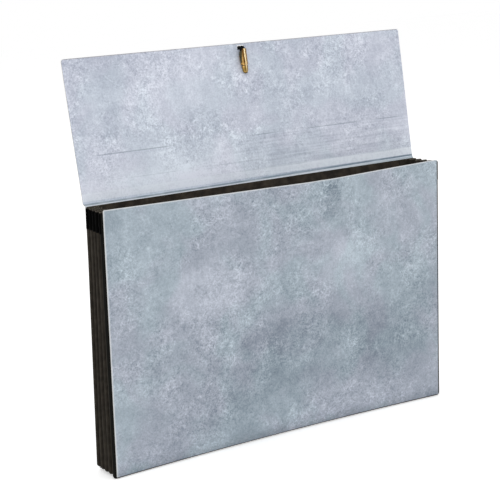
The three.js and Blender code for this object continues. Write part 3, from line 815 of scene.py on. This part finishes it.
def make_back_board():
    half = HALF_WIDTH
    radius = FLAP_CORNER_RADIUS
    slot_left = CLIP_CENTRE_X - SLOT_WIDTH / 2
    slot_right = CLIP_CENTRE_X + SLOT_WIDTH / 2
    slot_top = FLAP_HEIGHT - SLOT_EDGE_MARGIN
    slot_bottom = slot_top - SLOT_HEIGHT
    columns = merged(
        spread(-half, slot_left, 50), spread(slot_left, slot_right, 6), spread(slot_right, half, 50),
        spread(-half, -half + 2 * radius, 7), spread(half - 2 * radius, half, 7))
    rows = back_rows(slot_bottom, slot_top)
    verts = []
    for kind, height in rows:
        row_half = back_half_width(kind, height)
        share = row_half / half
        for column in columns:
            x = column * share
            if kind == "panel":
                verts.append(Vector((x, BACK_INNER_Y, height)))
            elif kind == "shoulder":
                verts.append(Vector((x, *shoulder_point(height))))
            else:
                narrow = row_half_width(height, FLAP_HEIGHT, row_half, radius)
                x = fitted_x(x, row_half, narrow, 2 * radius)
                verts.append(flap_point(x, height, flap_waves(x, height) - score_depth(height)))

    def in_slot(column, row):
        kind, low = rows[row]
        if kind != "flap":
            return False
        x = (columns[column] + columns[column + 1]) / 2
        height = (low + rows[row + 1][1]) / 2
        return slot_left < x < slot_right and slot_bottom < height < slot_top

    board = new_object("back_board_and_flap", verts, grid_faces(len(columns), len(rows), in_slot))
    thicken(board, BOARD_THICKNESS)
    sharpen(board, 40)
    dress(board, back_board_material(), "back_board", "back_panel_and_flap")


# Gusset

def body_shift(x, y, z):
    """How far a place between the boards follows the front board's bow and bend."""
    return front_shift(x, z) * clamp((GUSSET_BACK_Y - y) / GUSSET_DEPTH)


def pleat_line(fold_steps, valley_steps):
    """Centre line of the pleats as (outward, y) pairs, from the front glue flap's fold to the back's."""
    first = GUSSET_FRONT_Y + OUTWARD_FOLD_RADIUS
    pitch = (GUSSET_DEPTH - 2 * OUTWARD_FOLD_RADIUS) / (OUTWARD_FOLDS - 1)
    fold_x = -OUTWARD_FOLD_RADIUS - GUSSET_THICKNESS / 2
    valley_x = VALLEY_FOLD_RADIUS + GUSSET_THICKNESS / 2 - PLEAT_DEPTH
    reach = math.hypot(valley_x - fold_x, pitch / 2)
    lean = math.acos((OUTWARD_FOLD_RADIUS + VALLEY_FOLD_RADIUS) / reach)
    leg = math.atan2(valley_x - fold_x, pitch / 2) + lean
    points = []

    def add_arc(x, y, radius, start, end, steps):
        for angle in spread(start, end, steps):
            points.append((x + radius * math.sin(angle), y + radius * math.cos(angle)))

    for fold in range(OUTWARD_FOLDS):
        y = first + fold * pitch
        start = math.pi if fold == 0 else math.pi - leg
        end = 0 if fold == OUTWARD_FOLDS - 1 else leg
        add_arc(fold_x, y, OUTWARD_FOLD_RADIUS, start, end, fold_steps)
        if fold < OUTWARD_FOLDS - 1:
            start, end = math.pi + leg, 2 * math.pi - leg
            add_arc(valley_x, y + pitch / 2, VALLEY_FOLD_RADIUS, start, end, valley_steps)
    return points


# A sheet's corners are offset by at most the sheet's distance divided by this
SHARPEST_MITRE = 0.5
LONG_LEG = 3 * MM


def offset_line(points, distance):
    """The line at a distance to the outer side of a line of (outward, y) pairs."""
    moved = []
    for i, point in enumerate(points):
        here = Vector(point)
        before = Vector(points[max(i - 1, 0)])
        after = Vector(points[min(i + 1, len(points) - 1)])
        incoming = (here - before).normalized()
        outgoing = (after - here).normalized()
        along = (incoming + outgoing).normalized()
        straight = outgoing if i == 0 else incoming
        side = Vector((along.y, -along.x))
        moved.append(here + side * (distance / max(along.dot(straight), SHARPEST_MITRE)))
    return moved


def sheet_outline(line, middle, thickness):
    """A closed outline round a sheet, whose middle is at a distance to the outer side of a line."""
    outer = offset_line(line, middle + thickness / 2)
    return outer + offset_line(line, middle - thickness / 2)[::-1]


def with_legs(points, steps):
    """Puts points along the straight legs of a line, so that they can be made uneven."""
    filled = [Vector(points[0])]
    for start, end in zip(points, points[1:]):
        start, end = Vector(start), Vector(end)
        parts = steps if (end - start).length > LONG_LEG else 1
        for i in range(1, parts + 1):
            filled.append(start.lerp(end, i / parts))
    return filled


def fold_outset(y, z):
    """How far the outward folds stand out of the front board's side edges."""
    depth_share = (y - GUSSET_FRONT_Y) / GUSSET_DEPTH
    return GUSSET_OUTSET - GUSSET_TOP_TAPER * depth_share * z / GUSSET_HIGH.z


def corner_radius(inset):
    return max(GUSSET_CORNER_RADIUS - inset, GUSSET_LEAST_RADIUS)


def level_station(side, z):
    return lambda inset, y: (side * (HALF_WIDTH + fold_outset(y, z) - inset), z)


def side_station(side, share):
    def place(inset, y):
        low = inset + corner_radius(inset)
        z = low + (GUSSET_HIGH.z - low) * share
        return side * (HALF_WIDTH + fold_outset(y, z) - inset), z
    return place


def corner_station(side, angle):
    def place(inset, y):
        radius = corner_radius(inset)
        centre = HALF_WIDTH + GUSSET_OUTSET - inset - radius
        return side * (centre + radius * math.cos(angle)), inset + radius * (1 - math.sin(angle))
    return place


def bottom_station(share):
    def place(inset, y):
        reach = HALF_WIDTH + GUSSET_OUTSET - inset - corner_radius(inset)
        return -reach + 2 * reach * share, inset
    return place


def gusset_stations(side_steps, corner_steps, bottom_steps):
    quarter = math.pi / 2
    stations = [side_station(-1, 1 - i / side_steps) for i in range(side_steps)]
    stations += [corner_station(-1, quarter * i / corner_steps) for i in range(corner_steps + 1)]
    stations += [bottom_station(i / bottom_steps) for i in range(1, bottom_steps)]
    stations += [corner_station(1, quarter * (1 - i / corner_steps)) for i in range(corner_steps + 1)]
    stations += [side_station(1, i / side_steps) for i in range(1, side_steps + 1)]
    return stations


# Waves of the pleats: how many in a metre along X, Y and Z, and their height
PLEAT_WAVES = (6, 120, 9)
PLEAT_WAVE_HEIGHT = 0.9 * MM
PLEAT_WAVES_FROM_FLOOR = 40 * MM
# The folds behind the first one stand off the floor: by how much, what the last one adds, and up to
# which height it shows
FOLD_LIFT = 2.4 * MM
LAST_FOLD_LIFT = 1.5 * MM
FOLD_LIFT_REACH = 60 * MM


def pleat_waves(x, y, z):
    """Slow unevenness of the pleats, none at their glued flaps and none at the floor."""
    depth_share = clamp((y - FRONT_OUTER_Y) / BODY_DEPTH)
    middle = 4 * depth_share * (1 - depth_share)
    lift = smooth_step(z / PLEAT_WAVES_FROM_FLOOR)
    place = Vector(axis * frequency for axis, frequency in zip((x, y, z), PLEAT_WAVES))
    return noise.noise(place) * PLEAT_WAVE_HEIGHT * middle * lift


def fold_lift(y, z):
    """How far the pleats are lifted at a place between the boards."""
    share = clamp((y - FRONT_OUTER_Y) / BODY_DEPTH)
    lift = FOLD_LIFT * smooth_step(share * (OUTWARD_FOLDS - 1)) + LAST_FOLD_LIFT * share ** 3
    return lift * clamp(1 - z / FOLD_LIFT_REACH)


def sweep(name, outline, stations):
    """Carries a closed outline of (outward, y) points along stations and closes both ends."""
    verts = []
    for station in stations:
        for point in outline:
            x, z = station(-point.x, point.y)
            y = point.y + body_shift(x, point.y, z)
            verts.append((x, y + pleat_waves(x, y, z), z + fold_lift(point.y, z)))
    count = len(outline)
    faces = grid_faces(count, len(stations), closed=True)
    half = count // 2
    for row in (0, len(stations) - 1):
        base = row * count
        for i in range(half - 1):
            quad = (base + i, base + i + 1, base + count - 2 - i, base + count - 1 - i)
            faces.append(quad if row else tuple(reversed(quad)))
    obj = new_object(name, verts, faces)
    sharpen(obj, 50)
    return obj


FOLD_STEPS = 9
VALLEY_STEPS = 7
LEG_STEPS = 4
# Each tape's side and name, and how many points of the first and the last fold it leaves bare
TAPES = ((-1, "left", 1), (1, "right", 4))


def make_gusset():
    line = pleat_line(FOLD_STEPS, VALLEY_STEPS)
    front_y, back_y = line[0][1], line[-1][1]
    bend = [-PANEL_BOTTOM - height for height in spread(FRONT_BEND_HEIGHT, FRONT_BEND_HEIGHT / 6, 5)]
    line = [(-GLUE_FLAP, front_y)] + [(x, front_y) for x in bend] + line + [(-GLUE_FLAP, back_y)]
    outline = sheet_outline(with_legs(line, LEG_STEPS), 0, GUSSET_THICKNESS)
    gusset = sweep("pleated_gusset", outline, gusset_stations(36, 8, 60))
    dress(gusset, gusset_material(), "gusset_paper", "gusset")


def make_tape(side, name, bare, material):
    line = pleat_line(FOLD_STEPS, VALLEY_STEPS)
    line = with_legs(line[bare:len(line) - bare], LEG_STEPS)
    middle = GUSSET_THICKNESS / 2 + CLEARANCE + TAPE_THICKNESS / 2
    outline = sheet_outline(line, middle, TAPE_THICKNESS)
    levels = spread(TAPE_HIGH.z, TAPE_LOW.z, 8)
    if side > 0:
        levels.reverse()
    tape = sweep("binding_tape_" + name, outline, [level_station(side, z) for z in levels])
    dress(tape, material, "gusset_tape", "gusset_tape_" + name)


# Clip: brass sheet rolled round the ends of the cord, open at the left, and crimped above its round tip

CLIP_LENGTH = 22.6 * MM
CLIP_MOUTH_WIDTH = 7.8 * MM
CLIP_SHIFT = -0.5 * MM
CLIP_FLATNESS = 0.605
CLIP_TIP_WIDTH = 4.8 * MM
CLIP_TIP_LENGTH = 3 * MM
CLIP_TIP_HOLE = 0.03 * MM
CLIP_CRIMP_HEIGHT = 7.2 * MM
CLIP_CRIMP_WIDTH = 4.9 * MM
CLIP_CRIMP_GIRTH = 13 * MM
CLIP_BELOW_EDGE = 5.6 * MM
CLIP_LEAN = math.radians(2.8)
CLIP_SHEET = 0.4 * MM
CLIP_SEAM_DEG = 177
# Where the left flank and the back begin to open below the mouth, over what length, and by how much
CLIP_LEFT_OPENING = (3.2 * MM, 2.5 * MM, 68)
CLIP_BACK_OPENING = (6.0 * MM, 1.5 * MM, 150)
CLIP_OVER_CRIMP = 0.7 * MM
CLIP_UNDER_CRIMP = 0.35 * MM
CLIP_GROOVE_REACH = 0.8 * MM
CLIP_DIMPLE_ANGLES = (math.radians(107), math.radians(150))
CLIP_DIMPLE_REACH = 0.45 * MM
CLIP_DIMPLE_DEPTH = 0.55 * MM
# Streaks down the brass, painted highlights and dark painted reflections: (place round it, half width,
# softness, strength, colour)
BRASS_PAINTED_REFLECTIONS = (
    (0.555, 0.018, 0.03, 0.75, (96, 62, 26)), (0.475, 0.012, 0.025, 0.85, (255, 240, 196)),
    (0.42, 0.01, 0.02, 0.6, (130, 88, 40)), (0.62, 0.02, 0.03, 0.55, (240, 196, 120)))


def clip_half_width(height):
    """Half width of the clip at a height above its tip."""
    tip = CLIP_TIP_WIDTH / 2
    if height < CLIP_TIP_LENGTH:
        share = height / CLIP_TIP_LENGTH
        return tip * math.sqrt(max(1 - (1 - share) ** 2, 0))
    crimp = CLIP_CRIMP_WIDTH / 2
    above = (height - CLIP_CRIMP_HEIGHT) / (CLIP_LENGTH - CLIP_CRIMP_HEIGHT)
    shoulder = crimp + CLIP_OVER_CRIMP
    full = shoulder + (CLIP_MOUTH_WIDTH / 2 - shoulder) * above
    groove = math.exp(-((height - CLIP_CRIMP_HEIGHT) / CLIP_GROOVE_REACH) ** 2)
    below = (height - CLIP_TIP_LENGTH) / (CLIP_CRIMP_HEIGHT - CLIP_TIP_LENGTH)
    flat = tip + (crimp + CLIP_UNDER_CRIMP - tip) * smooth_step(below)
    body = full if height > CLIP_CRIMP_HEIGHT else flat
    return body + (crimp - body) * groove


def clip_angles(height):
    """Where the rolled sheet starts and ends round the clip, from its right side over its front."""
    def opened(below_mouth, length, degrees):
        return degrees * smooth_step((height - CLIP_LENGTH + below_mouth) / length)

    start = opened(*CLIP_BACK_OPENING) - CLIP_SEAM_DEG
    end = CLIP_SEAM_DEG - opened(*CLIP_LEFT_OPENING)
    return math.radians(start), math.radians(end)


def clip_dimples(angle, height):
    """Depth of the two marks that the crimping tool leaves on the front."""
    depth = 0
    for middle in CLIP_DIMPLE_ANGLES:
        away = ((angle - middle) * CLIP_CRIMP_WIDTH / 2) ** 2 + (height - CLIP_CRIMP_HEIGHT) ** 2
        depth += CLIP_DIMPLE_DEPTH * math.exp(-away / CLIP_DIMPLE_REACH ** 2)
    return depth


def make_clip():
    rows = [CLIP_TIP_LENGTH * (1 - math.cos(math.pi / 2 * i / 10)) for i in range(1, 10)]
    rows = merged([CLIP_TIP_HOLE], rows, spread(CLIP_TIP_LENGTH, CLIP_LENGTH, 64))
    columns = 49
    resting = CLIP_MOUTH_WIDTH / 2 * CLIP_FLATNESS + CLEARANCE
    verts = []
    for height in rows:
        start, end = clip_angles(height)
        for angle in spread(start, end, columns - 1):
            half = clip_half_width(height)
            across = half * math.cos(angle)
            out = (half * CLIP_FLATNESS - clip_dimples(angle, height)) * math.sin(angle)
            up = height - CLIP_LENGTH
            x = CLIP_CENTRE_X + CLIP_SHIFT + across * math.cos(CLIP_LEAN) - up * math.sin(CLIP_LEAN)
            s = FLAP_HEIGHT - CLIP_BELOW_EDGE + across * math.sin(CLIP_LEAN) + up * math.cos(CLIP_LEAN)
            verts.append(flap_point(x, s, resting + out))
    clip = new_object("brass_cord_clip", verts, grid_faces(columns, len(rows)))
    laid = clip.data.uv_layers.new(name="laid_out")
    for loop in clip.data.loops:
        row, column = divmod(loop.vertex_index, columns)
        start, end = clip_angles(rows[row])
        angle = start + (end - start) * column / (columns - 1)
        laid.data[loop.index].uv = (around_share(angle), rows[row] / CLIP_LENGTH)
    thicken(clip, CLIP_SHEET)
    sharpen(clip, 50)
    dress(clip, brass_material(), "clip_brass", "cord_clip")


# Elastic cord. Its points are the model's, across from the clip and back from the front board.

CORD_DIAMETER = 2.8 * MM
CORD_LEFT_HALF = [
    (-0.00145, 0.05399, 0.35698), (-0.00145, 0.05435, 0.35895), (-0.00145, 0.05481, 0.36069),
    (-0.00145, 0.05571, 0.36205), (-0.00145, 0.05713, 0.36261), (-0.00145, 0.05874, 0.36248),
    (-0.00145, 0.06035, 0.36183), (-0.00146, 0.06169, 0.36070), (-0.0015, 0.0625, 0.3589),
    (-0.0016, 0.0629, 0.3563), (-0.0025, 0.0629, 0.3410), (-0.0042, 0.0628, 0.3190),
    (-0.0065, 0.0627, 0.2910), (-0.0093, 0.0626, 0.2600), (-0.0119, 0.0626, 0.2300),
    (-0.0137, 0.0626, 0.2010), (-0.0142, 0.0626, 0.1810), (-0.0125, 0.0626, 0.1680),
    (-0.0079, 0.0626, 0.1596),
]
CORD_LOOP_BOTTOM = (0, 0.0626, 0.1568)


def cord_points():
    left = [Vector(point) for point in CORD_LEFT_HALF]
    right = [Vector((-x, y, z)) for x, y, z in CORD_LEFT_HALF]
    points = left + [Vector(CORD_LOOP_BOTTOM)] + right[::-1]
    return [point + Vector((CLIP_CENTRE_X, FRONT_OUTER_Y, 0)) for point in points]


def through(points, steps):
    """A centripetal Catmull-Rom curve through points, with steps samples for each span."""
    ends = [2 * points[0] - points[1]] + points + [2 * points[-1] - points[-2]]
    samples = []
    for p0, p1, p2, p3 in zip(ends, ends[1:], ends[2:], ends[3:]):
        k0, k1, k2 = (math.sqrt((b - a).length) for a, b in ((p0, p1), (p1, p2), (p2, p3)))
        start = ((p1 - p0) / k0 - (p2 - p0) / (k0 + k1) + (p2 - p1) / k1) * k1
        end = ((p2 - p1) / k1 - (p3 - p1) / (k1 + k2) + (p3 - p2) / k2) * k1
        for i in range(steps):
            t = i / steps
            samples.append(
                p1 * (2 * t ** 3 - 3 * t ** 2 + 1) + start * (t ** 3 - 2 * t ** 2 + t)
                + p2 * (3 * t ** 2 - 2 * t ** 3) + end * (t ** 3 - t ** 2))
    return samples + [points[-1]]


PLAIT_DEPTH = 0.06 * MM
PLAIT_TURNS = 1400
PLAIT_STRANDS = 3


def tube(name, path, radius, sides, ribs):
    """A closed tube along a path, with a fine plait in its surface."""
    verts = []
    side = Vector((1, 0, 0))
    travelled = 0.0
    for i, point in enumerate(path):
        before, after = path[max(i - 1, 0)], path[min(i + 1, len(path) - 1)]
        travelled += (point - before).length
        along = (after - before).normalized()
        side = (side - along * side.dot(along)).normalized()
        other = along.cross(side)
        for k in range(sides):
            angle = 2 * math.pi * k / sides
            turned, along_plait = PLAIT_STRANDS * angle, PLAIT_TURNS * travelled
            plait = math.sin(turned + along_plait) * math.sin(turned - along_plait)
            reach = radius - ribs + ribs * plait
            verts.append(point + (side * math.cos(angle) + other * math.sin(angle)) * reach)
    faces = grid_faces(sides, len(path), closed=True)
    faces.append(tuple(range(sides))[::-1])
    faces.append(tuple(range(len(verts) - sides, len(verts))))
    return new_object(name, verts, faces)


def make_cord():
    path = through(cord_points(), 14)
    cord = tube("elastic_loop_cord", path, CORD_DIAMETER / 2, 24, PLAIT_DEPTH)
    sharpen(cord, 60)
    dress(cord, elastic_material(), "cord_elastic", "elastic_cord")


make_cord()
make_front_board()
make_back_board()
make_gusset()
black_tape = tape_material()
for tape in TAPES:
    make_tape(*tape, black_tape)
make_clip()

lining = bpy.data.objects["back_lining"]
lining.data.materials.clear()
lining.data.materials.append(lining_material())


# Floor, world and lamps

FLOOR_REACH = 4.0
FLOOR_GLOW = 0.42
WORLD_LIGHT = 0.62
# Lamps: name, place, what it looks at, size in metres and power in watts
LAMPS = (
    ("key", (-1.1, -1.5, 1.7), (0, 0, 0.18), 1.2, 15),
    ("fill", (1.5, -1.6, 0.9), (0, 0, 0.15), 1.4, 4),
    ("back", (0.3, 1.7, 1.4), (0, 0, 0.2), 1.2, 7))


def make_floor():
    corners = ((-1, -1), (1, -1), (1, 1), (-1, 1))
    verts = [(x * FLOOR_REACH, y * FLOOR_REACH, 0) for x, y in corners]
    floor = new_object("floor", verts, [(0, 1, 2, 3)])
    shader = Shader("pale_floor")
    shader.finish((0.92, 0.92, 0.92, 1.0), 0.9, specular=0.1)
    # A little light of its own, only to the eye, keeps the open floor white and leaves the shadow
    path = shader.node("ShaderNodeLightPath").outputs
    seen = shader.maths("MAXIMUM", path["Is Camera Ray"], path["Is Glossy Ray"])
    seen = shader.maths("MAXIMUM", seen, path["Is Transmission Ray"])
    shader.bsdf.inputs["Emission Color"].default_value = (1, 1, 1, 1)
    shader.link(shader.times(seen, FLOOR_GLOW), shader.bsdf.inputs["Emission Strength"])
    floor.data.materials.append(shader.material)


def make_world():
    world = bpy.data.worlds.new("studio")
    world.use_nodes = True
    tree = world.node_tree
    background = tree.nodes["Background"]
    background.inputs["Color"].default_value = (1, 1, 1, 1)
    path = tree.nodes.new("ShaderNodeLightPath")
    seen = tree.nodes.new("ShaderNodeMath")
    seen.operation = "MAXIMUM"
    tree.links.new(path.outputs["Is Camera Ray"], seen.inputs[0])
    tree.links.new(path.outputs["Is Transmission Ray"], seen.inputs[1])
    strength = tree.nodes.new("ShaderNodeMapRange")
    strength.inputs["To Min"].default_value = WORLD_LIGHT
    strength.inputs["To Max"].default_value = 1.0
    tree.links.new(seen.outputs["Value"], strength.inputs["Value"])
    tree.links.new(strength.outputs["Result"], background.inputs["Strength"])
    bpy.context.scene.world = world


def add_area(name, place, aim, size, power):
    data = bpy.data.lights.new(name, "AREA")
    data.shape = "SQUARE"
    data.size = size
    data.energy = power
    lamp = bpy.data.objects.new(name, data)
    lamp.location = place
    lamp.rotation_euler = (Vector(aim) - Vector(place)).to_track_quat("-Z", "Y").to_euler()
    bpy.context.collection.objects.link(lamp)


make_floor()
make_world()
for lamp in LAMPS:
    add_area(*lamp)

bpy.context.scene.view_settings.view_transform = "Standard"
